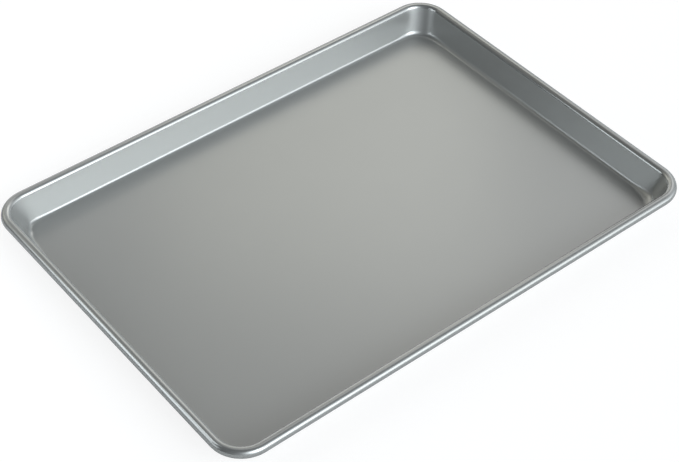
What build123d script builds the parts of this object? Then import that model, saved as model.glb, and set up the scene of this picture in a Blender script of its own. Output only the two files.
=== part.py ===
"""Jelly roll pan: a tray pressed from one steel sheet, its rim curled around a wire ring.

The pan stands on the XY plane with its middle on the Z axis and its long side along X.
Lengths are in millimetres and angles in degrees.
"""
import os
from math import acos, cos, degrees, radians, sqrt, tan

from build123d import *

# The whole pan, over the outside of its rim
rim_length = 454.0
rim_width = 327.2
rim_corner_radius = 28.0

# The tray
sheet_thickness = 0.6
inside_depth = 25.4
floor_bend_radius = 3.5
wall_lean = 15.0

# The wire ring and the curl that holds it
wire_diameter = 6.0
wire_butt_gap = 1.0
curl_play = 0.6
crest_width = 0.1
seat_gap = 0.05
lip_gap = 3.0

# How far a cut runs past what it cuts
overrun = 1.0

rim_height = sheet_thickness + inside_depth
mouth_level = rim_height + overrun
wire_radius = wire_diameter / 2
curl_bore_radius = wire_radius + curl_play
bead_radius = curl_bore_radius + sheet_thickness
bead_level = rim_height - bead_radius
lip_turn = degrees(acos((curl_bore_radius - lip_gap) / bead_radius))

# Each corner's upright axis, and how far out from it the bead has its crest
corner_x = rim_length / 2 - rim_corner_radius
corner_y = rim_width / 2 - rim_corner_radius
crest_outside = rim_corner_radius - bead_radius
crest_inside = crest_outside - crest_width

# Two walls meet in a slanted cylinder, of the radius that keeps the bead's width round the corner
lean = radians(wall_lean)
slant_stretch = sqrt(1 + 2 * tan(lean) ** 2)
corner_cut_share = (sqrt(2) - 1) / (sqrt(2) / cos(lean) - slant_stretch)
wall_corner_radius = crest_inside * corner_cut_share - bead_radius


def across(plane, mouth_width, foot_level, reach):
    """A bar with the tray's section from side to side: a flat foot between two leaning walls."""
    height = mouth_level - foot_level
    side = Trapezoid(mouth_width, height, 90 + wall_lean, align=(Align.CENTER, Align.MIN))
    return extrude(plane * Pos(Y=foot_level) * side, amount=reach, both=True)


def hollow(depth):
    """The room inside the tray, widened and deepened by this depth into the sheet."""
    foot_level = sheet_thickness - depth
    wall_at_bead = crest_inside - (bead_radius - depth) / cos(lean)
    wall_at_mouth = wall_at_bead + (mouth_level - bead_level) * tan(lean)
    room = across(Plane.XZ, 2 * (corner_x + wall_at_mouth), foot_level, rim_width)
    room &= across(Plane.YZ, 2 * (corner_y + wall_at_mouth), foot_level, rim_length)
    foot = room.faces().sort_by(Axis.Z)[0]
    top = room.faces().sort_by(Axis.Z)[-1]
    room = fillet(room.edges() - foot.edges() - top.edges(), wall_corner_radius + depth)
    foot = room.faces().sort_by(Axis.Z)[0]
    return fillet(foot.edges(), floor_bend_radius + depth)


def surround(depth):
    """All that lies this deep or deeper under the tray's upper face, out to the bead's crest."""
    top_level = rim_height - depth
    length = 2 * (corner_x + crest_outside)
    width = 2 * (corner_y + crest_outside)
    plan = RectangleRounded(length, width, crest_outside)
    block = extrude(Pos(Z=-overrun) * plan, amount=overrun + top_level) - hollow(depth)
    top = block.faces().sort_by(Axis.Z)[-1]
    return fillet(top.inner_wires()[0].edges(), bead_radius - depth)


def curl_section():
    """The sheet bent over and under the wire, from the bead's crest to its lip."""
    bead_centre = (crest_outside, bead_level)
    crest = 90
    lip = lip_turn - 180 - wall_lean
    with BuildSketch() as section:
        with BuildLine():
            bead = CenterArc(bead_centre, bead_radius, crest, lip - crest)
            bore = CenterArc(bead_centre, curl_bore_radius, crest, lip - crest)
            Line(bead @ 0, bore @ 0)
            Line(bead @ 1, bore @ 1)
        make_face()
    return section.sketch


def wire_section():
    """The round wire, which lies on the bottom of the curl."""
    drop = curl_bore_radius - wire_radius - seat_gap
    return Pos(crest_outside, bead_level - drop) * Circle(wire_radius)


def ring(section):
    """The section carried along the four sides and round the four corners."""
    to_short_side = Plane((corner_x, corner_y, 0), x_dir=(1, 0, 0), z_dir=(0, -1, 0))
    to_long_side = Plane((corner_x, corner_y, 0), x_dir=(0, 1, 0), z_dir=(1, 0, 0))
    corner_axis = Axis((corner_x, corner_y, 0), (0, 0, 1))
    corner = revolve(to_short_side * section, axis=corner_axis, revolution_arc=90)
    half_short_side = extrude(to_short_side * section, amount=corner_y)
    half_long_side = extrude(to_long_side * section, amount=-corner_x)
    quarter = corner + half_short_side + half_long_side
    half = quarter + mirror(quarter, about=Plane.YZ)
    return half + mirror(half, about=Plane.XZ)


def pan_shell():
    """Floor, walls and curl: one piece of sheet."""
    tray = surround(0) - surround(sheet_thickness)
    return tray + ring(curl_section())


def rim_wire():
    """One length of wire bent into a ring, whose ends meet at the middle of the back side."""
    back = corner_y + crest_outside
    gap_length = wire_diameter + 2 * (curl_play + overrun)
    butt_gap = Pos(0, back, bead_level) * Box(wire_butt_gap, gap_length, gap_length)
    return ring(wire_section()) - butt_gap


pieces = {"pan_shell": pan_shell(), "rim_wire": rim_wire()}
os.makedirs("parts", exist_ok=True)
for name, piece in pieces.items():
    export_step(piece, f"parts/{name}.step")
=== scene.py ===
"""Jelly roll pan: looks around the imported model. Blender 4.5, metres, same frame as the model."""
import math

import bpy
from mathutils import Matrix, Vector


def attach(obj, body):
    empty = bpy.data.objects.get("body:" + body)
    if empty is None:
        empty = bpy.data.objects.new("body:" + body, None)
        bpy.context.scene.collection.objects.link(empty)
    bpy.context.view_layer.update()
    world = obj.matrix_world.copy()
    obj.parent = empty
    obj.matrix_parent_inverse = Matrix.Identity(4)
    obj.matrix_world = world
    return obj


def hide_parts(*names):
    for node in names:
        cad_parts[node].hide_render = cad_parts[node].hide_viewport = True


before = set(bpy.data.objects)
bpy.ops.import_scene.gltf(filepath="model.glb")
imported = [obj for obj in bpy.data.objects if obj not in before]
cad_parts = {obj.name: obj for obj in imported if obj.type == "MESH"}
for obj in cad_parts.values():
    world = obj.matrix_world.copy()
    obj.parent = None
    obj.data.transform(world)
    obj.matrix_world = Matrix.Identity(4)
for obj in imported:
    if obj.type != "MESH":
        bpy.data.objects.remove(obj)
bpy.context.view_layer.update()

# The camera of the photograph
CAMERA_PLACE = Vector((-0.598, -0.724, 0.901))
CAMERA_AZIMUTH = math.radians(39.41)
CAMERA_DROP = math.radians(44.27)
CAMERA_ROLL = math.radians(0.83)
FOCAL_SHARE = 1620.0 / 679.0
SENSOR_WIDTH = 36.0
CLIP_START, CLIP_END = 0.01, 50.0

# The stage
FLOOR_HALF_SIZE = 6.0
FLOOR_DROP = 0.0002
FLOOR_GREY = 0.8
FLOOR_GREY_MIRRORED = 0.6
FLOOR_GREY_SEEN = 0.22
FLOOR_GLOW_SEEN = 0.82
FLOOR_GLOW_MIRRORED = 0.02
FLOOR_ROUGHNESS = 0.9

# Tints of the light
NEUTRAL = (1.0, 1.0, 1.0)
COOL = (0.94, 1.005, 1.055)
WARM = (1.04, 1.03, 0.93)

# The pan, as in the CAD model but for its foot: the bend widens in the corners, and at the left corner
# the foot is drawn in
SHEET = 0.0006
HALF_LENGTH, HALF_WIDTH = 0.2270, 0.1636
RIM_CORNER_RADIUS = 0.028
RIM_HEIGHT = 0.026
BEAD_RADIUS = 0.0042
CREST_WIDTH = 0.0001
LIP_GAP = 0.003
LEAN = math.radians(15)
FLOOR_BEND = 0.0035
CORNER_BEND = 0.009
BACK_CORNER_BEND = 0.006
BEND_REACH = 0.020
LEFT_CORNER_BEND = 0.0045
LEFT_CORNER_INSET = 0.003
INSET_TURN = math.radians(60)
INSET_REACH = 0.045
FLAT_MARGIN = 0.001

BEAD_LEVEL = RIM_HEIGHT - BEAD_RADIUS
CORNER_X, CORNER_Y = HALF_LENGTH - RIM_CORNER_RADIUS, HALF_WIDTH - RIM_CORNER_RADIUS
CREST_OUTSIDE = RIM_CORNER_RADIUS - BEAD_RADIUS
CREST_INSIDE = CREST_OUTSIDE - CREST_WIDTH
SPREAD = math.tan(LEAN)

# The walls' foot, where they would meet the floor in a sharp edge, and the radius of its corners
FOOT = CREST_INSIDE - BEAD_RADIUS / math.cos(LEAN) - (BEAD_LEVEL - SHEET) * SPREAD
FOOT_X, FOOT_Y = CORNER_X + FOOT, CORNER_Y + FOOT
CORNER_CUT_SHARE = (math.sqrt(2) - 1) / (math.sqrt(2) / math.cos(LEAN) - math.sqrt(1 + 2 * SPREAD ** 2))
WALL_CORNER_RADIUS = CREST_INSIDE * CORNER_CUT_SHARE - BEAD_RADIUS

# How finely the shell's mesh is divided
ARC_STEPS = 30
REACH_STEPS = 8
BEND_STEPS = 10
WALL_STEPS = 5
INNER_BEAD_STEPS = 8
OUTER_BEAD_STEPS = 20
SHARP_ANGLE = math.radians(40)

# The search along a station, which halves its reach at each step
SEARCH_REACH = 0.03
SEARCH_STEPS = 40

# The coating and the wire
COATING_COLOUR = (0.45, 0.457, 0.448)
COATING_METALLIC = 0.7
TRAY_ROUGHNESS = 0.3
RIM_ROUGHNESS = 0.18
BURNISH = "burnish"
MOTTLE_SIZE, MOTTLE_DEPTH = 0.03, 0.03
GRAIN_SIZE, GRAIN_DEPTH = 0.0012, 0.000004
WIRE_COLOUR = (0.55, 0.56, 0.57)
WIRE_ROUGHNESS = 0.25
WIRE_MOTTLE_SIZE, WIRE_MOTTLE_DEPTH = 0.004, 0.12
NOISE_DETAIL = 2.0


def make_camera():
    data = bpy.data.cameras.new("camera")
    data.sensor_fit = "HORIZONTAL"
    data.sensor_width = SENSOR_WIDTH
    data.lens = FOCAL_SHARE * SENSOR_WIDTH
    data.clip_start = CLIP_START
    data.clip_end = CLIP_END
    camera = bpy.data.objects.new("camera", data)
    bpy.context.scene.collection.objects.link(camera)
    level = Vector((math.sin(CAMERA_AZIMUTH), math.cos(CAMERA_AZIMUTH), 0.0))
    forward = level * math.cos(CAMERA_DROP) - Vector((0, 0, math.sin(CAMERA_DROP)))
    side = forward.cross(Vector((0, 0, 1))).normalized()
    top = side.cross(forward)
    right = side * math.cos(CAMERA_ROLL) + top * math.sin(CAMERA_ROLL)
    up = top * math.cos(CAMERA_ROLL) - side * math.sin(CAMERA_ROLL)
    axes = Matrix((right, up, -forward)).transposed().to_4x4()
    camera.matrix_world = Matrix.Translation(CAMERA_PLACE) @ axes
    bpy.context.scene.camera = camera


def node(tree, kind, label, **values):
    """A shader node with its plain settings; the sockets are set or linked by the caller."""
    made = tree.nodes.new("ShaderNode" + kind)
    made.label = label
    for name, value in values.items():
        setattr(made, name, value)
    return made


def math_node(tree, operation, label, first, second=None):
    """A Math node. Each of its two inputs is a number or an output socket."""
    made = node(tree, "Math", label, operation=operation)
    for index, value in enumerate((first, second)):
        if isinstance(value, bpy.types.NodeSocket):
            tree.links.new(value, made.inputs[index])
        elif value is not None:
            made.inputs[index].default_value = value
    return made.outputs["Value"]


def soft_box(tree, name, azimuth, height, spread, strength, tint=NEUTRAL):
    """A round patch of light in the sky, brightest in its middle. Angles in degrees."""
    turn, rise = math.radians(azimuth), math.radians(height)
    middle = (math.cos(rise) * math.cos(turn), math.cos(rise) * math.sin(turn), math.sin(rise))
    direction = node(tree, "TexCoord", name + " direction")
    facing = node(tree, "VectorMath", name + " facing", operation="DOT_PRODUCT")
    tree.links.new(direction.outputs["Generated"], facing.inputs[0])
    facing.inputs[1].default_value = middle
    off_middle = math_node(tree, "SUBTRACT", name + " off middle", facing.outputs["Value"], 1.0)
    narrowed = math_node(tree, "MULTIPLY", name + " narrowed", off_middle, 1 / math.radians(spread) ** 2)
    brightness = math_node(tree, "EXPONENT", name + " brightness", narrowed)
    level = math_node(tree, "MULTIPLY", name + " level", brightness, strength)
    light = node(tree, "Background", name)
    light.inputs["Color"].default_value = (*tint, 1)
    tree.links.new(level, light.inputs["Strength"])
    return light.outputs["Background"]


def light_studio():
    """Soft boxes all round, with the key light on the near right and white where the camera looks."""
    world = bpy.data.worlds.new("studio")
    bpy.context.scene.world = world
    world.use_nodes = True
    tree = world.node_tree
    tree.nodes.clear()
    boxes = (
        soft_box(tree, "key", azimuth=273, height=34, spread=13.5, strength=6.4, tint=COOL),
        soft_box(tree, "near left low", azimuth=250, height=0, spread=22.5, strength=0.6, tint=COOL),
        soft_box(tree, "near right low", azimuth=314, height=1, spread=22.5, strength=1.8, tint=COOL),
        soft_box(tree, "right", azimuth=335, height=30, spread=12, strength=0.32),
        soft_box(tree, "back left", azimuth=106, height=31, spread=13, strength=0.88, tint=WARM),
        soft_box(tree, "back low", azimuth=67, height=0, spread=15, strength=1.4),
        soft_box(tree, "back high", azimuth=45, height=60, spread=11, strength=0.56),
        soft_box(tree, "back right", azimuth=25, height=38, spread=11, strength=1.18),
        soft_box(tree, "far right", azimuth=0, height=38, spread=11, strength=0.25, tint=COOL),
        soft_box(tree, "back right low", azimuth=20, height=0, spread=15, strength=0.76, tint=COOL),
    )
    total = boxes[0]
    for box in boxes[1:]:
        both = node(tree, "AddShader", "more light")
        tree.links.new(total, both.inputs[0])
        tree.links.new(box, both.inputs[1])
        total = both.outputs["Shader"]
    white = node(tree, "Background", "white surround")
    white.inputs["Color"].default_value = (1, 1, 1, 1)
    rays = node(tree, "LightPath", "kind of ray")
    choice = node(tree, "MixShader", "white where the camera looks")
    tree.links.new(rays.outputs["Is Camera Ray"], choice.inputs["Fac"])
    tree.links.new(total, choice.inputs[1])
    tree.links.new(white.outputs["Background"], choice.inputs[2])
    output = node(tree, "OutputWorld", "studio")
    tree.links.new(choice.outputs["Shader"], output.inputs["Surface"])


def hang_panel(name, place, size, power, tint=NEUTRAL):
    """A soft panel near the pan, which lights its near side more than its far side. It faces the pan."""
    data = bpy.data.lights.new(name, "AREA")
    data.shape = "RECTANGLE"
    data.size, data.size_y = size
    data.energy = power
    data.color = tint
    panel = bpy.data.objects.new(name, data)
    bpy.context.scene.collection.objects.link(panel)
    panel.location = place
    panel.rotation_euler = (-Vector(place)).to_track_quat("-Z", "Y").to_euler()
    panel.visible_camera = False


def floor_shader(tree, label, grey, glow):
    """Matt grey that shines by itself as well."""
    bsdf = node(tree, "BsdfPrincipled", label)
    bsdf.inputs["Base Color"].default_value = (grey, grey, grey, 1)
    bsdf.inputs["Roughness"].default_value = FLOOR_ROUGHNESS
    bsdf.inputs["Emission Color"].default_value = (1, 1, 1, 1)
    bsdf.inputs["Emission Strength"].default_value = glow
    return bsdf.outputs["BSDF"]


def make_floor():
    """A pale floor, near white to the camera and light grey in reflections. It keeps the pan's shadow."""
    mesh = bpy.data.meshes.new("floor")
    h = FLOOR_HALF_SIZE
    mesh.from_pydata([(-h, -h, 0), (h, -h, 0), (h, h, 0), (-h, h, 0)], [], [(0, 1, 2, 3)])
    floor = bpy.data.objects.new("floor", mesh)
    bpy.context.scene.collection.objects.link(floor)
    material = bpy.data.materials.new("floor")
    material.use_nodes = True
    tree = material.node_tree
    tree.nodes.clear()
    lit = floor_shader(tree, "as it lights the pan", FLOOR_GREY, 0.0)
    mirrored = floor_shader(tree, "as it shows in metal", FLOOR_GREY_MIRRORED, FLOOR_GLOW_MIRRORED)
    seen = floor_shader(tree, "as the camera sees it", FLOOR_GREY_SEEN, FLOOR_GLOW_SEEN)
    rays = node(tree, "LightPath", "kind of ray")
    glossy = rays.outputs["Is Glossy Ray"]
    through = math_node(tree, "MAXIMUM", "mirrored or through", glossy, rays.outputs["Is Transmission Ray"])
    indirect = node(tree, "MixShader", "in reflections")
    tree.links.new(through, indirect.inputs["Fac"])
    tree.links.new(lit, indirect.inputs[1])
    tree.links.new(mirrored, indirect.inputs[2])
    choice = node(tree, "MixShader", "to the camera")
    tree.links.new(rays.outputs["Is Camera Ray"], choice.inputs["Fac"])
    tree.links.new(indirect.outputs["Shader"], choice.inputs[1])
    tree.links.new(seen, choice.inputs[2])
    output = node(tree, "OutputMaterial", "floor")
    tree.links.new(choice.outputs["Shader"], output.inputs["Surface"])
    mesh.materials.append(material)
    floor.location.z = -FLOOR_DROP


def smooth_step(share):
    share = min(max(share, 0.0), 1.0)
    return share * share * (3 - 2 * share)


def wall_at(x, y):
    """For a place in plan in the first quarter: how far it is outside the wall's foot, and the way out."""
    u, v = x - FOOT_X + WALL_CORNER_RADIUS, y - FOOT_Y + WALL_CORNER_RADIUS
    beside = (u + v) ** 2 - 2 * (u * u + v * v - WALL_CORNER_RADIUS ** 2)
    shift = (u + v - math.sqrt(max(beside, 0.0))) / 2
    if u > shift and v > shift:
        out = ((u - shift) / WALL_CORNER_RADIUS, (v - shift) / WALL_CORNER_RADIUS)
    else:
        shift = max(u, v) - WALL_CORNER_RADIUS
        out = (1.0, 0.0) if u > v else (0.0, 1.0)
    return shift * (out[0] + out[1]), out


def steepness(out):
    return math.atan(1 / (SPREAD * (out[0] + out[1])))


def reach_for(station, distance):
    """How far out along a station the wall's foot is this far behind."""
    near, far = -SEARCH_REACH, SEARCH_REACH
    for _ in range(SEARCH_STEPS):
        middle = (near + far) / 2
        x, y = station_point(station, middle)
        if wall_at(x, y)[0] < distance:
            near = middle
        else:
            far = middle
    return (near + far) / 2


def station_point(station, reach):
    x, y, turn = station[:3]
    return x + reach * math.cos(turn), y + reach * math.sin(turn)


def tray_point(station, reach):
    """A place on the tray's upper face and its normal, from the floor to the top of the wall."""
    bend = station[3]
    x, y = station_point(station, reach)
    distance, out = wall_at(x, y)
    steep = steepness(out)
    tangent = bend * math.tan(steep / 2)
    if distance <= -tangent:
        lift, tilt = 0.0, 0.0
    elif distance < tangent * math.cos(steep):
        tilt = math.asin((distance + tangent) / bend)
        lift = bend * (1 - math.cos(tilt))
    else:
        tilt = steep
        lift = distance * math.tan(steep)
    normal = Vector((-out[0] * math.sin(tilt), -out[1] * math.sin(tilt), math.cos(tilt)))
    return Vector((x, y, SHEET + lift)), normal


def bead_point(station, middle, radius, angle):
    """A place on the bead, whose cross-section stands upright on the station."""
    reach = middle + radius * math.cos(angle)
    x, y = station_point(station, reach)
    return Vector((x, y, BEAD_LEVEL + radius * math.sin(angle)))


def section(station):
    """The shell's outline on a station, from its upper face over the bead and back under it."""
    foot_reach = reach_for(station, 0.0)
    steep = steepness(wall_at(*station_point(station, foot_reach))[1])
    bend = station[3]
    tangent = bend * math.tan(steep / 2)
    flat_end = reach_for(station, -tangent)
    reaches = [flat_end - FLAT_MARGIN, flat_end]
    for step in range(1, BEND_STEPS + 1):
        tilt = steep * step / BEND_STEPS
        reaches.append(reach_for(station, bend * math.sin(tilt) - tangent))
    top_steep = steepness(wall_at(*station_point(station, CREST_INSIDE - BEAD_RADIUS))[1])
    top_reach = CREST_INSIDE - BEAD_RADIUS * math.sin(top_steep)
    top_level = BEAD_LEVEL + BEAD_RADIUS * math.cos(top_steep)
    misfit = top_level - tray_point(station, top_reach)[0].z
    face = [tray_point(station, reach) for reach in reaches]
    bend_reach = reaches[-1]
    for step in range(1, WALL_STEPS + 1):
        share = step / WALL_STEPS
        place, normal = tray_point(station, bend_reach + (top_reach - bend_reach) * share)
        place.z += misfit * share
        face.append((place, normal))
    inward = Vector((-math.cos(station[2]), -math.sin(station[2]), 0.0))
    for place, _ in face:
        share = (place.z - SHEET) / (top_level - SHEET)
        place += inward * station[4] * max(1 - share, 0.0)
    upper = [place for place, _ in face]
    lower = [place - normal * SHEET for place, normal in face]
    crest = math.pi / 2
    lip = math.acos((BEAD_RADIUS - SHEET - LIP_GAP) / BEAD_RADIUS) - math.pi - LEAN
    for step in range(1, INNER_BEAD_STEPS + 1):
        angle = crest + top_steep * (1 - step / INNER_BEAD_STEPS)
        upper.append(bead_point(station, CREST_INSIDE, BEAD_RADIUS, angle))
        lower.append(bead_point(station, CREST_INSIDE, BEAD_RADIUS - SHEET, angle))
    for step in range(OUTER_BEAD_STEPS + 1):
        angle = crest + (lip - crest) * step / OUTER_BEAD_STEPS
        upper.append(bead_point(station, CREST_OUTSIDE, BEAD_RADIUS, angle))
        lower.append(bead_point(station, CREST_OUTSIDE, BEAD_RADIUS - SHEET, angle))
    return upper + lower[::-1]


def quarter_stations(corner_bend, inset):
    """Stations from the middle of a long side round a corner to the middle of a short side.

    A station is a place on the rim's axis, the way out, the floor's bend, and how far the wall's foot
    is drawn in.
    """
    def side_bend(distance):
        return FLOOR_BEND + (corner_bend - FLOOR_BEND) * smooth_step(1 - distance / BEND_REACH)
    quarter_turn = math.pi / 2
    distances = [BEND_REACH * step / REACH_STEPS for step in range(REACH_STEPS, 0, -1)]
    stations = [(0.0, CORNER_Y, quarter_turn, FLOOR_BEND, 0.0)]
    stations += [(CORNER_X - d, CORNER_Y, quarter_turn, side_bend(d), 0.0) for d in distances]
    for step in range(ARC_STEPS + 1):
        turned = quarter_turn * step / ARC_STEPS
        drawn_in = inset * smooth_step(turned / INSET_TURN)
        stations.append((CORNER_X, CORNER_Y, quarter_turn - turned, corner_bend, drawn_in))
    distances = [INSET_REACH * step / REACH_STEPS for step in range(1, REACH_STEPS + 1)]
    for d in distances:
        drawn_in = inset * smooth_step(1 - d / INSET_REACH)
        stations.append((CORNER_X, CORNER_Y - d, 0.0, side_bend(d), drawn_in))
    stations.append((CORNER_X, 0.0, 0.0, FLOOR_BEND, 0.0))
    return stations


def make_shell(material):
    """The tray with its curled rim, one closed mesh in place of the plain shell."""
    rings = []
    quarters = (
        (1, 1, BACK_CORNER_BEND, 0.0, False),
        (1, -1, CORNER_BEND, 0.0, True),
        (-1, -1, CORNER_BEND, 0.0, False),
        (-1, 1, LEFT_CORNER_BEND, LEFT_CORNER_INSET, True),
    )
    for sign_x, sign_y, corner_bend, inset, backwards in quarters:
        stations = quarter_stations(corner_bend, inset)
        if backwards:
            stations.reverse()
        for station in stations[:-1]:
            rings.append([(p.x * sign_x, p.y * sign_y, p.z) for p in section(station)])
    count, size = len(rings), len(rings[0])
    vertices = [place for ring in rings for place in ring]
    faces = []
    for index in range(count):
        here, there = index * size, (index + 1) % count * size
        for step in range(size - 1):
            faces.append((here + step, there + step, there + step + 1, here + step + 1))
    faces.append([index * size for index in reversed(range(count))])
    faces.append([index * size + size - 1 for index in range(count)])
    mesh = bpy.data.meshes.new("shell")
    mesh.from_pydata(vertices, [], faces)
    tray_count = 2 + BEND_STEPS + WALL_STEPS
    burnished = [0.0] * tray_count + [1.0] * (size - 2 * tray_count) + [0.0] * tray_count
    mesh.attributes.new(BURNISH, "FLOAT", "POINT").data.foreach_set("value", burnished * count)
    mesh.polygons.foreach_set("use_smooth", [True] * len(mesh.polygons))
    mesh.set_sharp_from_angle(angle=SHARP_ANGLE)
    mesh.materials.append(material)
    shell = bpy.data.objects.new("shell", mesh)
    bpy.context.scene.collection.objects.link(shell)
    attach(shell, "root")
    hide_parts("pan_shell")


def noise(tree, label, place, size):
    """A soft uneven pattern whose blotches are about this size in metres."""
    made = node(tree, "TexNoise", label)
    made.inputs["Scale"].default_value = 1 / size
    made.inputs["Detail"].default_value = NOISE_DETAIL
    tree.links.new(place, made.inputs["Vector"])
    return made.outputs["Fac"]


def satin_coating():
    """Silver-grey coated steel, satin in the tray and burnished where the rim is rolled."""
    material = bpy.data.materials.new("satin_coating")
    material.use_nodes = True
    tree = material.node_tree
    bsdf = tree.nodes["Principled BSDF"]
    bsdf.inputs["Base Color"].default_value = (*COATING_COLOUR, 1)
    bsdf.inputs["Metallic"].default_value = COATING_METALLIC
    place = node(tree, "TexCoord", "place on the pan").outputs["Object"]
    burnish = node(tree, "Attribute", "how burnished", attribute_name=BURNISH).outputs["Fac"]
    smoothing = math_node(tree, "MULTIPLY", "roughness taken off", burnish, TRAY_ROUGHNESS - RIM_ROUGHNESS)
    rough = math_node(tree, "SUBTRACT", "roughness by burnishing", TRAY_ROUGHNESS, smoothing)
    mottle = noise(tree, "mottled gloss", place, MOTTLE_SIZE)
    mottle = math_node(tree, "SUBTRACT", "mottle about the middle", mottle, 0.5)
    mottle = math_node(tree, "MULTIPLY", "mottle depth", mottle, MOTTLE_DEPTH)
    rough = math_node(tree, "ADD", "roughness", rough, mottle)
    tree.links.new(rough, bsdf.inputs["Roughness"])
    grain = node(tree, "Bump", "grain of the coating")
    grain.inputs["Distance"].default_value = GRAIN_DEPTH
    tree.links.new(noise(tree, "grain", place, GRAIN_SIZE), grain.inputs["Height"])
    tree.links.new(grain.outputs["Normal"], bsdf.inputs["Normal"])
    return material


def drawn_wire():
    """Bright drawn steel, a little uneven in its gloss."""
    material = bpy.data.materials.new("drawn_wire")
    material.use_nodes = True
    tree = material.node_tree
    bsdf = tree.nodes["Principled BSDF"]
    bsdf.inputs["Base Color"].default_value = (*WIRE_COLOUR, 1)
    bsdf.inputs["Metallic"].default_value = 1.0
    place = node(tree, "TexCoord", "place on the pan").outputs["Object"]
    mottle = noise(tree, "mottled gloss", place, WIRE_MOTTLE_SIZE)
    mottle = math_node(tree, "MULTIPLY", "mottle depth", mottle, WIRE_MOTTLE_DEPTH)
    rough = math_node(tree, "ADD", "roughness", mottle, WIRE_ROUGHNESS)
    tree.links.new(rough, bsdf.inputs["Roughness"])
    return material


make_camera()
light_studio()
hang_panel("back_panel", place=(0.5, 0.65, 0.6), size=(0.5, 0.5), power=0.48, tint=WARM)
hang_panel("left_panel", place=(-0.55, 0.3, 0.33), size=(0.3, 0.25), power=0.33, tint=COOL)
hang_panel("high_left_panel", place=(-0.45, 0.15, 0.5), size=(0.2, 0.2), power=0.2, tint=COOL)
hang_panel("far_left_panel", place=(-0.7, 0.2, 0.25), size=(0.5, 0.3), power=0.52, tint=COOL)
hang_panel("near_panel", place=(0.5, -1.1, 0.5), size=(0.8, 0.5), power=0.85, tint=WARM)
hang_panel("far_panel", place=(0.1, 0.9, 0.6), size=(0.4, 0.3), power=0.18)
make_floor()
make_shell(satin_coating())
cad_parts["rim_wire"].material_slots[0].material = drawn_wire()

bpy.context.scene.view_settings.view_transform = "Standard"
